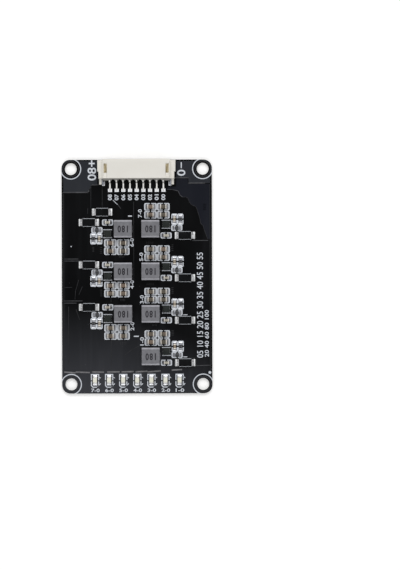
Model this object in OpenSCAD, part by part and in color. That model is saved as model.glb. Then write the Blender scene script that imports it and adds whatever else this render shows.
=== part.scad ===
// Active balancing board for a battery of eight cells in series.
// All sizes in millimetres. The origin is the centre of the mounting-hole pattern on the
// underside of the board: +X runs across it, +Y points to the cell connector and +Z points
// up out of the component side.

/* [Board] */
// Width of the board across X
board_w = 45; // [43:0.5:60]
// Length of the board along Y
board_l = 70; // [69:0.5:90]
// Thickness of the bare board
board_t = 1.0; // [0.6:0.1:2.4]
// Radius of the board's corners
board_corner_r = 2.5; // [0.5:0.1:3.5]
// Diameter of the mounting holes
mount_hole_d = 3.6; // [2.2:0.1:4]
// Distance from each board edge to the hole centres
mount_hole_inset = 2.75; // [2.6:0.05:3.5]

/* [Solder and print] */
// Thickness of the tinned land under each terminal
land_t = 0.08; // [0.04:0.01:0.15]
// Radius of the solder fillet that climbs a terminal's end
fillet_r = 0.4; // [0.2:0.05:0.5]
// Width of a printed line
print_line = 0.28; // [0.2:0.02:0.4]
// Thickness of the printed ink
print_t = 0.04; // [0.03:0.01:0.08]
// Radius of the printed ring round each mounting hole, to the middle of its line
hole_ring_r = 3.0; // [2.8:0.05:3.3]

/* [Cell connector housing] */
// Number of contacts in the connector
contact_count = 9; // [6:1:10]
// Distance from one contact to the next
contact_pitch = 2.0; // [1.8:0.05:2.4]
// Distance from the outer contacts' axes to the sides of the housing
shell_end = 1.95; // [1.9:0.05:2.6]
// Height of the housing above the board
shell_h = 5.5; // [5.2:0.1:7]
// Depth of the housing from its mating face to the back of its roof
shell_depth = 5.8; // [5.6:0.1:6.4]
// Thickness of the housing's side walls
side_wall = 0.75; // [0.6:0.05:0.9]
// Thickness of the housing's roof
roof_wall = 0.8; // [0.6:0.05:1.1]
// Thickness of the housing's floor
floor_wall = 0.7; // [0.5:0.05:0.9]
// Thickness of the wall behind the socket
back_wall = 1.0; // [0.8:0.05:1.2]
// Depth of the low ledge behind the roof
ledge_depth = 0.5; // [0.45:0.05:0.8]
// Height of the low ledge behind the roof
ledge_h = 3.6; // [3.4:0.1:4]
// Width of each window through the roof
window_w = 1.0; // [0.8:0.05:1.2]
// Length of each window through the roof
window_l = 2.8; // [2:0.1:3]
// Distance from the mating face to the windows
window_setback = 1.4; // [1:0.1:1.5]
// Width of the ear on each side of the housing
ear_w = 1.68; // [1.6:0.02:2.2]
// Height of the ears
ear_h = 3.6; // [3:0.1:4.4]
// Length of the wide front part of each ear
ear_front_l = 3.4; // [2.8:0.1:3.8]
// Length of the arm that runs back from each ear, past the roof
arm_l = 1.7; // [1.5:0.05:2]
// Height of the arms
arm_h = 2.0; // [1.6:0.1:2.6]

/* [Cell connector metal] */
// Thickness of the square contact wire
contact_t = 0.5; // [0.4:0.05:0.6]
// Distance from the mating face back to the contact tips
tip_setback = 1.0; // [0.6:0.1:1.4]
// Distance from the back of the ledge to the ends of the contact feet
foot_reach = 3.05; // [2.9:0.05:3.3]
// Radius of each bend, inside the wire
bend_r = 0.2; // [0.1:0.05:0.3]
// Clearance round a contact or a solder tab in its slot
contact_fit = 0.05; // [0.03:0.01:0.1]
// Width of the land under each contact foot
contact_land_w = 1.2; // [0.9:0.05:1.4]
// Length of the land under each contact foot
contact_land_l = 0.95; // [0.8:0.05:1.2]
// Thickness of the solder tabs' sheet
tab_t = 0.25; // [0.2:0.05:0.3]

/* [Channels] */
// Distance from the board's end at the lights to the middle of the first row of inductors
first_row = 11.15; // [11:0.05:11.6]
// Distance from the board's end at the connector to the middle of the last row of inductors
last_row = 20.75; // [20.5:0.05:21]
// Distance from the board's middle line to each column of inductors
column_x = 4.1; // [4:0.05:4.4]

/* [Inductors] */
// Width of an inductor's body across X
inductor_w = 5.4; // [4.8:0.1:5.5]
// Length of an inductor's body along Y
inductor_l = 5.3; // [4.8:0.1:5.4]
// Height of an inductor's body
inductor_h = 3.0; // [1.8:0.1:3.4]
// Slope width of the moulded body's sides, seen from above
inductor_draft = 0.42; // [0.2:0.02:0.5]
// Width of an inductor's terminal clips
clip_w = 2.4; // [1.6:0.1:2.8]
// Thickness of an inductor's terminal clips
clip_t = 0.15; // [0.1:0.01:0.2]

/* [Balancing circuits] */
// Side of the square flat package
ic_side = 2.0; // [1.8:0.05:2.1]
// Height of the flat package
ic_h = 0.75; // [0.5:0.05:0.9]
// Number of lands along each side of the package
ic_leads = 4; // [3:1:4]
// Distance between the package's lands
ic_lead_pitch = 0.5; // [0.4:0.05:0.5]
// Gap between the package and the inductor
ic_gap = 0.95; // [0.9:0.05:1.1]

/* [Capacitors and resistors] */
// Length of a filter capacitor
filter_cap_l = 2.0; // [1.9:0.05:2.1]
// Width of a filter capacitor
filter_cap_w = 1.25; // [1.1:0.05:1.3]
// Height of a filter capacitor
filter_cap_h = 1.1; // [0.8:0.05:1.3]
// Distance between the two columns of filter capacitors
filter_column_pitch = 3.85; // [3.8:0.05:4]
// Distance between the two rows of filter capacitors
filter_row_pitch = 2.4; // [2.35:0.05:2.5]
// Gap between the inductor and the first filter capacitor
filter_gap = 0.95; // [0.9:0.05:1]
// Length of the small capacitors and of the resistors
chip_l = 1.6; // [1.5:0.05:1.7]
// Width of the small capacitors and of the resistors
chip_w = 0.8; // [0.7:0.05:0.85]
// Height of the small capacitors
chip_cap_h = 0.8; // [0.6:0.05:0.9]
// Height of the resistors
resistor_h = 0.45; // [0.35:0.05:0.55]
// Length of the metal at each end of a capacitor
cap_band = 0.35; // [0.25:0.05:0.4]
// Length of the metal at each end of a resistor
resistor_band = 0.25; // [0.2:0.05:0.35]

/* [Line fuses] */
// Length of a resettable fuse
fuse_l = 5.0; // [4.5:0.1:5.2]
// Width of a resettable fuse
fuse_w = 2.1; // [1.9:0.05:2.2]
// Height of a resettable fuse
fuse_h = 0.9; // [0.6:0.05:1.2]
// Length of the plated band at each end of a fuse
fuse_band = 0.6; // [0.5:0.05:0.8]
// Radius of the half-round notch in each end of a fuse
fuse_notch_r = 0.35; // [0.25:0.05:0.45]

/* [Status lights] */
// Distance from one light to the next
led_pitch = 4.22; // [4:0.02:4.4]
// Distance from the board's edge to the lights' middles
led_edge = 4.0; // [3.9:0.05:4.2]
// Length of a light's package
led_l = 2.0; // [1.9:0.05:2.1]
// Width of a light's package
led_w = 1.25; // [1.1:0.05:1.3]
// Height of a light's package
led_h = 0.8; // [0.7:0.05:1]

/* [Hidden] */

$fn = 32;
channels = 7;
rows = floor(channels / 2);                // rows above the first, two channels in each
fuses = channels + 1;
eps = 0.01; // overshoot of a cut past the face that it opens

// Colours
mask_colour = "#15171a";
ink_colour = "#d8dce6";
solder_colour = "#c8cbcc";
shell_colour = "#e4e0d6";
metal_colour = "#bfc0bc";
inductor_colour = "#8f8b90";
package_colour = "#2c2e30";
ceramic_colour = "#9c8168";
cream_colour = "#c9c0a4";
resistor_colour = "#34363c";
fuse_colour = "#17181a";
light_colour = "#ece8da";

// Mounting holes
hole_x = board_w / 2 - mount_hole_inset;
hole_y = board_l / 2 - mount_hole_inset;

// Connector, measured back from its mating face and up from the board's surface
contact_span = (contact_count - 1) * contact_pitch;
shell_w = contact_span + 2 * shell_end;
socket_w = shell_w - 2 * side_wall;
socket_h = shell_h - roof_wall - floor_wall;
socket_depth = shell_depth - back_wall;
pin_z = floor_wall + socket_h / 2;         // axis of the contacts in the socket
key_depth = 0.35;                          // depth of the key slots beyond the socket's sides
key_h = 1.1;                               // height of the key slots below the roof
window_rim = 0.25;                         // roof left between a window and the housing's side
groove_depth = 0.3;                        // depth of the groove behind each window
shell_edge = 0.15;                         // chamfer of the roof's mating edge
ledge_back = shell_depth + ledge_depth;
ear_setback = 0.28;
ear_step = 0.35;                           // the ear's rear part is this much narrower
arm_w = 0.75;
arm_inset = 0.12;                          // the arm stands this far in from the ear's rear part
scallop_side = 0.2;                        // ledge left beside each scallop
scallop_r = (contact_pitch - contact_t - 2 * contact_fit) / 2 - scallop_side;
scallop_depth = 0.35;

// Contacts
bend_out = bend_r + contact_t;             // outer radius of each bend
foot_z = land_t;

// Solder tabs: a blade in a slot of the ear, and a foot turned inwards
tab_x = shell_w / 2 + ear_w - ear_step - arm_inset - arm_w - contact_fit - tab_t;
tab_foot_w = 0.7;
tab_blade_h = 1.8;
tab_blade_front = 1.5;                     // from the mating face to the blade's front end
tab_back = shell_depth + arm_l + 0.05;

// Rows of channels, spread evenly between the lights and the connector
row_pitch = (board_l - first_row - last_row) / rows;

// Places inside a channel, measured from its inductor
plate_t = 0.04;                            // how far plated ends stand proud of a chip's body
clip_h = 1.2;                              // height of an inductor's clip up the body's side
clip_foot = 1.4;                           // length of the clip under the body
ic_lead_h = 0.2;                           // height of the metal on the package's sides
led_base_h = 0.3;                          // height of a light's base under its lens
ic_x = -(inductor_w / 2 + ic_gap + ic_side / 2);
ic_rise = 0.25;                            // package's lower side above the inductor's
ic_y = -inductor_l / 2 + ic_rise + ic_side / 2;
bypass_rise = 1.97;                        // gap between the package and the bypass capacitor
bypass_y = ic_y + ic_side / 2 + bypass_rise + chip_w / 2;
outline_gap = 1.75;                        // outline's length beyond a chip's length, both ends
outline_side = 1.0;                        // outline's width beyond a chip's width, both sides
chip_pitch = chip_w + outline_side;        // side-by-side spacing of two small chips
timing_x = ic_x - ic_side / 2 - 1.1 - chip_w / 2;
sense_x = timing_x - chip_pitch;
sense_drop = 1.5;                          // sense parts' middle below the package's middle
sense_y = ic_y - sense_drop;
gate_shift = 0.2;                          // gate resistor's middle, from midway over the pair
gate_x = (timing_x + sense_x) / 2 + gate_shift;
gate_y = sense_y + (chip_l + outline_gap + chip_w + outline_side) / 2;
fuse_land = 0.7;                           // land beyond each end of a fuse
fuse_gap = 0.75;                           // gap between the fuse's land and the next outline
fuse_x = ic_x - (chip_l + outline_gap) / 2 - fuse_gap - fuse_land - fuse_l / 2;
filter_y = -(inductor_l / 2 + filter_gap + filter_cap_w / 2);
chip_land = 0.55;                          // land beyond each end of a chip

// The eighth fuse stands above the left column
spare_fuse_dx = 4.0;                       // to the right of the column's own fuses
spare_fuse_dy = 3.1;                       // above the column's top fuse

led_y = -board_l / 2 + led_edge;
led_outline_w = 2.45;
led_outline_l = 4.1;
led_outline_drop = 0.2;                    // outline's middle below the light's middle

// ---------- helpers ----------

// Rectangle with rounded corners, centred on the origin
module rounded_rect(w, l, r) {
    square([w - 2 * r, l], center = true);
    square([w, l - 2 * r], center = true);
    for (x = [-1, 1], y = [-1, 1])
        translate([x * (w / 2 - r), y * (l / 2 - r)]) circle(r);
}

// Extrudes an outline drawn in Y and Z along X, centred on X = 0
module along_x(w) {
    translate([-w / 2, 0, 0]) rotate([90, 0, 90]) linear_extrude(w) children();
}

// Extrudes an outline drawn in X and Z along Y, centred on Y = 0
module along_y(l) {
    translate([0, l / 2, 0]) rotate([90, 0, 0]) linear_extrude(l) children();
}

// Block that stands on z = 0, centred in X and Y
module block(w, l, h) {
    translate([-w / 2, -l / 2, 0]) cube([w, l, h]);
}

// Child and its mirror image across the middle of X
module both_sides() {
    children();
    mirror([1, 0, 0]) children();
}

// ---------- places ----------

module on_board() {
    translate([0, 0, board_t]) children();
}

module on_lands() {
    translate([0, 0, board_t + land_t]) children();
}

// Odd channels stand in the right column and are turned half round
function channel_side(n) = n % 2 == 1 ? 1 : -1;
function channel_y(n) = -board_l / 2 + first_row + row_pitch * floor(n / 2);

module at_channel(n) {
    translate([channel_side(n) * column_x, channel_y(n), 0])
        rotate(channel_side(n) == 1 ? 180 : 0) children();
}

module at_filter_caps() {
    for (column = [0, 1], row = [0, 1])
        translate([-column * filter_column_pitch, filter_y - row * filter_row_pitch, 0]) children();
}

module at_small_caps() {
    translate([ic_x, bypass_y, 0]) children();
    translate([timing_x, sense_y, 0]) rotate(90) children();
}

module at_resistors() {
    translate([gate_x, gate_y, 0]) children();
    translate([sense_x, sense_y, 0]) rotate(90) children();
}

// Fuses 1 to 7 belong to the channels, and the last one stands above the left column
module at_fuse(n) {
    if (n <= channels)
        at_channel(n) translate([fuse_x, bypass_y, 0]) children();
    else
        at_channel(channels - 1)
            translate([fuse_x + spare_fuse_dx, bypass_y + spare_fuse_dy, 0]) children();
}

module at_led(n) {
    translate([(n - (channels + 1) / 2) * led_pitch, led_y, 0]) rotate(90) children();
}

module at_connector() {
    translate([0, board_l / 2, board_t]) children();
}

module at_contacts() {
    for (i = [0 : contact_count - 1])
        translate([i * contact_pitch - contact_span / 2, 0, 0]) children();
}

// ---------- board ----------

module board_outline() {
    rounded_rect(board_w, board_l, board_corner_r);
}

module at_mount_holes() {
    for (x = [-1, 1], y = [-1, 1]) translate([x * hole_x, y * hole_y, 0]) children();
}

module pcb() {
    color(mask_colour) difference() {
        linear_extrude(board_t) board_outline();
        at_mount_holes() translate([0, 0, -eps])
            cylinder(d = mount_hole_d, h = board_t + 2 * eps, $fn = 64);
    }
}

// ---------- printed outlines ----------

// Rounded outline round a chip that lies along X, open in the middle of its long sides
module chip_outline(l, w) {
    outline_l = l + outline_gap;
    outline_w = w + outline_side;
    corner = 0.45;
    opening = 0.45;
    linear_extrude(print_t) difference() {
        rounded_rect(outline_l, outline_w, corner);
        rounded_rect(outline_l - 2 * print_line, outline_w - 2 * print_line, corner - print_line / 2);
        square([opening, outline_w + 2 * eps], center = true);
    }
}

// Bracket round a light: square at its head, cut off at its foot, open half-way down its sides
module led_outline() {
    foot_cut = 0.55;
    opening = 0.35;
    half_l = led_outline_l / 2;
    half_w = led_outline_w / 2;
    module shape(inset) {
        polygon([
            [half_l - inset, half_w - inset],
            [half_l - inset, -half_w + inset],
            [-half_l + foot_cut + inset / 2, -half_w + inset],
            [-half_l + inset, -half_w + foot_cut + inset / 2],
            [-half_l + inset, half_w - foot_cut - inset / 2],
            [-half_l + foot_cut + inset / 2, half_w - inset]
        ]);
    }
    translate([-led_outline_drop, 0, 0]) linear_extrude(print_t) difference() {
        shape(0);
        shape(print_line);
        square([opening, led_outline_w + 2 * eps], center = true);
    }
}

// Two lines along the sides of a package that carry no lands
module ic_outline() {
    line_l = 2.55;
    line_y = ic_side / 2 + 0.2;
    for (side = [-1, 1])
        translate([0, side * line_y, 0]) block(line_l, print_line * 0.8, print_t);
}

// Two thin lines along the sides of a fuse, between its lands
module fuse_outline() {
    line_l = fuse_l - 2 * fuse_band - 0.15;
    line_y = fuse_w / 2 + 0.12;
    for (side = [-1, 1])
        translate([0, side * line_y, 0]) block(line_l, print_line * 0.5, print_t);
}

module hole_rings() {
    linear_extrude(print_t) intersection() {
        board_outline();
        for (x = [-1, 1], y = [-1, 1]) translate([x * hole_x, y * hole_y]) difference() {
            circle(hole_ring_r + print_line / 2, $fn = 64);
            circle(hole_ring_r - print_line / 2, $fn = 64);
        }
    }
}

// Round dot beside the lower right mounting hole
module corner_dot() {
    dot_r = 0.42;
    dot_out = 2.0;
    dot_up = 3.47;
    translate([hole_x + dot_out, -hole_y + dot_up, 0]) cylinder(r = dot_r, h = print_t);
}

module silkscreen() {
    color(ink_colour) on_board() {
        hole_rings();
        corner_dot();
        for (n = [1 : channels]) at_channel(n) {
            at_filter_caps() chip_outline(filter_cap_l, filter_cap_w);
            at_small_caps() chip_outline(chip_l, chip_w);
            at_resistors() chip_outline(chip_l, chip_w);
            translate([ic_x, ic_y, 0]) ic_outline();
        }
        for (n = [1 : fuses]) at_fuse(n) fuse_outline();
        for (n = [1 : channels]) at_led(n) led_outline();
    }
}

// ---------- solder ----------

// Side view of one joint: the terminal's end face, h high, stands at x = 0 on the land
module joint_profile(h, under, out) {
    tip = 0.04; // thickness of the solder where the fillet ends
    rise = min(fillet_r, out, 0.8 * h);
    translate([-under, 0]) square([under + out, land_t]);
    difference() {
        square([rise, land_t + rise]);
        translate([rise, land_t + rise]) circle(rise - tip);
    }
}

// Pair of joints at the ends of a part that lies along X
module end_joints(l, w, h, under, out) {
    for (side = [0, 1]) rotate(side * 180)
        translate([l / 2, 0, 0]) along_y(w) joint_profile(h, under, out);
}

module ic_joints() {
    land_w = 0.28;
    for (i = [0 : ic_leads - 1])
        translate([0, (i - (ic_leads - 1) / 2) * ic_lead_pitch, 0])
            end_joints(ic_side + 2 * plate_t, land_w, ic_lead_h, 0.25, 0.1);
}

module component_solder() {
    land_margin = 0.1; // land's width beyond a chip's width
    fuse_under = fuse_band - 0.1;
    led_under = 0.3;
    color(solder_colour) on_board() {
        for (n = [1 : channels]) at_channel(n) {
            at_filter_caps() end_joints(filter_cap_l, filter_cap_w + land_margin, filter_cap_h,
                                        cap_band, chip_land);
            at_small_caps() end_joints(chip_l, chip_w + land_margin, chip_cap_h,
                                       cap_band, chip_land);
            at_resistors() end_joints(chip_l, chip_w + land_margin, resistor_h,
                                      resistor_band, chip_land);
            translate([ic_x, ic_y, 0]) ic_joints();
            end_joints(inductor_w, clip_w, clip_h, clip_foot - 0.4, 0.15);
        }
        for (n = [1 : fuses])
            at_fuse(n) end_joints(fuse_l, fuse_w, fuse_h, fuse_under, fuse_land);
        for (n = [1 : channels])
            at_led(n) end_joints(led_l, led_w, led_base_h, led_under, chip_land);
    }
}

module connector_solder() {
    foot_end = ledge_back + foot_reach;
    land_front = foot_end - contact_land_l + 0.28;
    color(solder_colour) at_connector() {
        at_contacts() translate([0, -land_front - contact_land_l / 2, 0])
            block(contact_land_w, contact_land_l, land_t);
        both_sides() translate([tab_x + tab_t - tab_foot_w - 0.1, -tab_back - 0.2, 0])
            cube([tab_foot_w + 0.1, tab_back - ledge_back + 0.1, land_t]);
    }
}

// ---------- connector ----------

// Side view of the housing's main block, drawn back from the mating face
module shell_profile() {
    difference() {
        translate([-shell_depth, 0]) square([shell_depth, shell_h]);
        translate([0, shell_h]) rotate(45)
            square(shell_edge * sqrt(2), center = true);
    }
}

module ear() {
    rear_w = ear_w - ear_step;
    arm_x = shell_w / 2 + rear_w - arm_inset - arm_w;
    translate([shell_w / 2, -ear_setback - ear_front_l, 0]) cube([ear_w, ear_front_l, ear_h]);
    translate([shell_w / 2, -shell_depth, 0]) cube([rear_w, shell_depth - ear_setback, ear_h]);
    translate([arm_x, -shell_depth - arm_l, 0]) cube([arm_w, arm_l + 1, arm_h]);
}

module socket() {
    translate([-socket_w / 2, -socket_depth, floor_wall])
        cube([socket_w, socket_depth + eps, socket_h]);
    // key slots in the upper corners of the socket
    key_w = socket_w + 2 * key_depth;
    translate([-key_w / 2, -socket_depth, floor_wall + socket_h - key_h])
        cube([key_w, socket_depth + eps, key_h]);
}

// Window through the roof above a key slot, with a shallow groove behind it
module roof_window() {
    x = shell_w / 2 - window_rim - window_w;
    translate([x, -window_setback - window_l, shell_h - roof_wall - eps])
        cube([window_w, window_l, roof_wall + 2 * eps]);
    translate([x, -shell_depth + 0.3, shell_h - groove_depth])
        cube([window_w, shell_depth - window_setback - window_l, groove_depth + eps]);
}

module contact_slot() {
    slot = contact_t + 2 * contact_fit;
    translate([-slot / 2, -ledge_back - eps, pin_z - slot / 2])
        cube([slot, ledge_back - socket_depth + 2 * eps, slot]);
}

module tab_slot() {
    slot = tab_t + 2 * contact_fit;
    translate([tab_x - contact_fit, -shell_depth - eps, -eps])
        cube([slot, shell_depth - tab_blade_front + contact_fit + eps,
              land_t + tab_blade_h + contact_fit + eps]);
}

module connector_housing() {
    color(shell_colour) at_connector() difference() {
        union() {
            along_x(shell_w) shell_profile();
            translate([-shell_w / 2, -ledge_back, 0]) cube([shell_w, ledge_depth + 0.5, ledge_h]);
            both_sides() ear();
        }
        socket();
        both_sides() roof_window();
        both_sides() tab_slot();
        at_contacts() contact_slot();
        for (i = [1 : contact_count - 1])
            translate([(i - contact_count / 2) * contact_pitch,
                       -ledge_back - scallop_r + scallop_depth, -eps])
                cylinder(r = scallop_r, h = ledge_h + 2 * eps);
    }
}

// Quarter of a ring in the corner between +Y and +Z of its centre
module quarter_ring(inner, outer) {
    intersection() {
        difference() {
            circle(outer);
            circle(inner);
        }
        square(outer + eps);
    }
}

// Side view of a contact: pin, bend down, drop, bend out and foot
module contact_profile() {
    foot_end = ledge_back + foot_reach;
    bend_top = pin_z + contact_t / 2 - bend_out;
    bend_foot = foot_z + bend_out;
    foot_start = ledge_back + bend_out + bend_r;
    tip_l = 0.5;
    tip_t = contact_t * 0.45;
    // pin
    polygon([
        [-ledge_back, pin_z - contact_t / 2],
        [-tip_setback - tip_l, pin_z - contact_t / 2],
        [-tip_setback, pin_z - tip_t / 2],
        [-tip_setback, pin_z + tip_t / 2],
        [-tip_setback - tip_l, pin_z + contact_t / 2],
        [-ledge_back, pin_z + contact_t / 2]
    ]);
    translate([-ledge_back, bend_top]) mirror([1, 0]) quarter_ring(bend_r, bend_out);
    translate([-ledge_back - bend_out, bend_foot]) square([contact_t, bend_top - bend_foot]);
    translate([-foot_start, bend_foot]) mirror([0, 1]) quarter_ring(bend_r, bend_out);
    translate([-foot_end, foot_z]) square([foot_end - foot_start, contact_t]);
}

module connector_contacts() {
    color(metal_colour) at_connector() at_contacts() along_x(contact_t) contact_profile();
}

module connector_solder_tabs() {
    color(metal_colour) at_connector() both_sides() {
        translate([tab_x, -tab_back, land_t])
            cube([tab_t, tab_back - tab_blade_front, tab_blade_h]);
        translate([tab_x + tab_t - tab_foot_w, -tab_back, land_t])
            cube([tab_foot_w, tab_back - ledge_back - 0.1, tab_t]);
    }
}

// ---------- components of a channel ----------

// Moulded block with sloping sides, and a flat clip folded under each end
module inductor() {
    base_draft = 0.12;
    waist_z = inductor_h * 0.45;
    corner = 0.3;
    module side_view(size) {
        polygon([
            [-size / 2 + base_draft, clip_t],
            [size / 2 - base_draft, clip_t],
            [size / 2, waist_z],
            [size / 2 - inductor_draft * 0.4, inductor_h - inductor_draft],
            [size / 2 - inductor_draft, inductor_h],
            [-size / 2 + inductor_draft, inductor_h],
            [-size / 2 + inductor_draft * 0.4, inductor_h - inductor_draft],
            [-size / 2, waist_z]
        ]);
    }
    color(inductor_colour) on_lands() {
        intersection() {
            along_x(inductor_w) side_view(inductor_l);
            along_y(inductor_l) side_view(inductor_w);
            linear_extrude(inductor_h) rounded_rect(inductor_w, inductor_l, corner);
        }
        for (side = [0, 1]) rotate(side * 180) along_y(clip_w) union() {
            translate([inductor_w / 2 - clip_foot, 0]) square([clip_foot, clip_t + eps]);
            translate([inductor_w / 2 - clip_t, 0]) square([clip_t, clip_h]);
        }
    }
}

// Flat leadless package with a dimple at its first land
module balancer_ic() {
    lead_w = 0.25;
    dimple_r = 0.2;
    dimple_depth = 0.05;
    color(package_colour) on_lands() translate([ic_x, ic_y, 0]) difference() {
        union() {
            translate([0, 0, plate_t]) block(ic_side, ic_side, ic_h - plate_t);
            for (i = [0 : ic_leads - 1])
                translate([0, (i - (ic_leads - 1) / 2) * ic_lead_pitch, 0])
                    block(ic_side + 2 * plate_t, lead_w, ic_lead_h);
        }
        translate([-ic_side / 2 + 0.45, ic_side / 2 - 0.45, ic_h - dimple_depth])
            cylinder(r = dimple_r, h = dimple_depth + eps);
    }
}

// Chip that lies along X: a bar with a plated cap on each end
module chip(l, w, h, band) {
    edge = 0.08;
    along_x(l - band) translate([0, h / 2])
        rounded_rect(w - 2 * plate_t, h - 2 * plate_t, edge);
    for (side = [-1, 1])
        translate([side * (l - band) / 2, 0, 0]) along_x(band)
            translate([0, h / 2]) rounded_rect(w, h, edge + plate_t);
}

module filter_capacitors() {
    color(ceramic_colour) on_lands() at_filter_caps()
        chip(filter_cap_l, filter_cap_w, filter_cap_h, cap_band);
}

module small_capacitors() {
    color(cream_colour) on_lands() at_small_caps() chip(chip_l, chip_w, chip_cap_h, cap_band);
}

module resistors() {
    color(resistor_colour) on_lands() at_resistors()
        chip(chip_l, chip_w, resistor_h, resistor_band);
}

// Flat laminate with plated ends, each with a half-round notch
module line_fuse() {
    edge = 0.06;
    color(fuse_colour) on_lands() difference() {
        union() {
            along_x(fuse_l - 2 * plate_t) translate([0, fuse_h / 2])
                rounded_rect(fuse_w - 2 * plate_t, fuse_h - 2 * plate_t, edge);
            for (side = [-1, 1])
                translate([side * (fuse_l - fuse_band) / 2, 0, 0]) along_x(fuse_band)
                    translate([0, fuse_h / 2]) rounded_rect(fuse_w, fuse_h, edge + plate_t);
        }
        for (side = [-1, 1]) translate([side * fuse_l / 2, 0, -eps])
            cylinder(r = fuse_notch_r, h = fuse_h + 2 * eps);
    }
}

// Light: a flat base with notched ends under a clear block with sloping ends
module status_led() {
    notch_r = 0.22;
    lens_l = led_l - 0.7;
    lens_slope = 0.12;
    color(light_colour) on_lands() {
        difference() {
            block(led_l, led_w, led_base_h);
            for (side = [-1, 1]) translate([side * led_l / 2, 0, -eps])
                cylinder(r = notch_r, h = led_base_h + 2 * eps);
        }
        along_y(led_w) polygon([
            [-lens_l / 2, led_base_h - eps],
            [lens_l / 2, led_base_h - eps],
            [lens_l / 2 - lens_slope, led_h],
            [-lens_l / 2 + lens_slope, led_h]
        ]);
    }
}

// ---------- assembly ----------

pcb();
silkscreen();
component_solder();
connector_solder();
connector_housing();
connector_contacts();
connector_solder_tabs();
for (n = [1 : channels]) {
    at_channel(n) inductor();
    at_channel(n) balancer_ic();
    at_channel(n) filter_capacitors();
    at_channel(n) small_capacitors();
    at_channel(n) resistors();
    at_led(n) status_led();
}
for (n = [1 : fuses])
    at_fuse(n) line_fuse();
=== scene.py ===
import math

import bmesh
import bpy
from mathutils import Matrix, Vector


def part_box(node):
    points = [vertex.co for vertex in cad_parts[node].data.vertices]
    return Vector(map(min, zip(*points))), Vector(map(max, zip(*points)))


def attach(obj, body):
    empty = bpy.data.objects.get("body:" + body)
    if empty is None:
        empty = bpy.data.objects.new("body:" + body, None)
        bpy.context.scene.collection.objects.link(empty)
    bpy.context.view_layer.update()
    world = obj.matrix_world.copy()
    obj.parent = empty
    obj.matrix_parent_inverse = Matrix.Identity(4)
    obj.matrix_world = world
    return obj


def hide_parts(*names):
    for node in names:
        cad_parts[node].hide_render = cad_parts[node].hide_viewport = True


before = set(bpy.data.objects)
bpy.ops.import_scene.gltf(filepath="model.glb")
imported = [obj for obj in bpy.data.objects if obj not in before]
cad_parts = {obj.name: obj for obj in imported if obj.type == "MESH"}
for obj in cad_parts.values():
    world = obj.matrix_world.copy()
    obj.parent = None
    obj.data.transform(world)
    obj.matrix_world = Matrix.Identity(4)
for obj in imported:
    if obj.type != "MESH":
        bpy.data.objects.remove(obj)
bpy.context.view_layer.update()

# Every piece is shaped in millimetres and scaled to metres when it is finished.
MM = 0.001
CHANNELS = range(1, 8)
FUSES = range(1, 9)

# ---------------------------------------------------------------- places


def box_mm(node):
    low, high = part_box(node)
    return low / MM, high / MM


def centre_mm(node):
    low, high = box_mm(node)
    return (low + high) / 2


board_low, board_high = box_mm("pcb")
BOARD_TOP = board_high.z
BOARD_W = board_high.x - board_low.x
BOARD_L = board_high.y - board_low.y
INK_TOP = box_mm("silkscreen")[1].z
LAND_TOP = box_mm("connector_solder")[1].z
HOLE_X = BOARD_W / 2 - 2.75
HOLE_Y = BOARD_L / 2 - 2.75

# Sizes of the parts and their spacing
CAP_L, CAP_W, CAP_H = 2.0, 1.25, 1.1
SMALL_L, SMALL_W, SMALL_H = 1.6, 0.8, 0.8
PACKAGE_L, LEAD_PITCH = 2.08, 0.5
INDUCTOR_W, FUSE_L, LIGHT_L = 5.4, 5.0, 2.0
PIN_PITCH = 2.0


def side_of(n):
    """The left column stands as drawn; the right one is turned half round."""
    return 1 if n % 2 == 0 else -1


def place(x, y, z=0.0, turn=0.0):
    return Matrix.Translation((x, y, z)) @ Matrix.Rotation(math.radians(turn), 4, "Z")


def corner_spot(node, n, length, width, upper):
    """Middle of a small chip: the lying one in the node's upper inner corner, or the standing one
    in its lower outer corner.
    """
    low, high = box_mm(node)
    middle, half = (low + high) / 2, (high - low) / 2
    if upper:
        offset = Vector((half.x - length / 2, half.y - width / 2, 0))
    else:
        offset = Vector((width / 2 - half.x, length / 2 - half.y, 0))
    spot = middle + side_of(n) * offset
    return place(spot.x, spot.y, LAND_TOP, 0 if upper else 90)


def filter_spots(n, length, width):
    low, high = box_mm(f"filter_capacitors_{n}")
    return [
        place(x, y, LAND_TOP)
        for x in (low.x + length / 2, high.x - length / 2)
        for y in (low.y + width / 2, high.y - width / 2)
    ]


# ---------------------------------------------------------------- shaping


def block(bm, size, middle=(0, 0, 0), edge=0.05, finish=0, segments=2):
    """Block with rounded edges."""
    matrix = Matrix.Translation(middle) @ Matrix.Diagonal((*size, 1))
    made = bmesh.ops.create_cube(bm, size=1, matrix=matrix)
    edges = list({e for v in made["verts"] for e in v.link_edges})
    faces = list({f for v in made["verts"] for f in v.link_faces})
    for face in faces:
        face.material_index = finish
    if edge > 0:
        bmesh.ops.bevel(
            bm, geom=edges, offset=edge, offset_type="OFFSET", segments=segments,
            profile=0.5, affect="EDGES", clamp_overlap=True, material=-1,
        )


def template(shape, *values):
    """A shape made once, to be stamped in many places."""
    bm = bmesh.new()
    shape(bm, *values)
    mesh = bpy.data.meshes.new("template")
    bm.to_mesh(mesh)
    bm.free()
    return mesh


def stamp(bm, mesh, matrix):
    before = len(bm.verts)
    bm.from_mesh(mesh)
    bm.verts.ensure_lookup_table()
    bmesh.ops.transform(bm, matrix=matrix, verts=bm.verts[before:])


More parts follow.
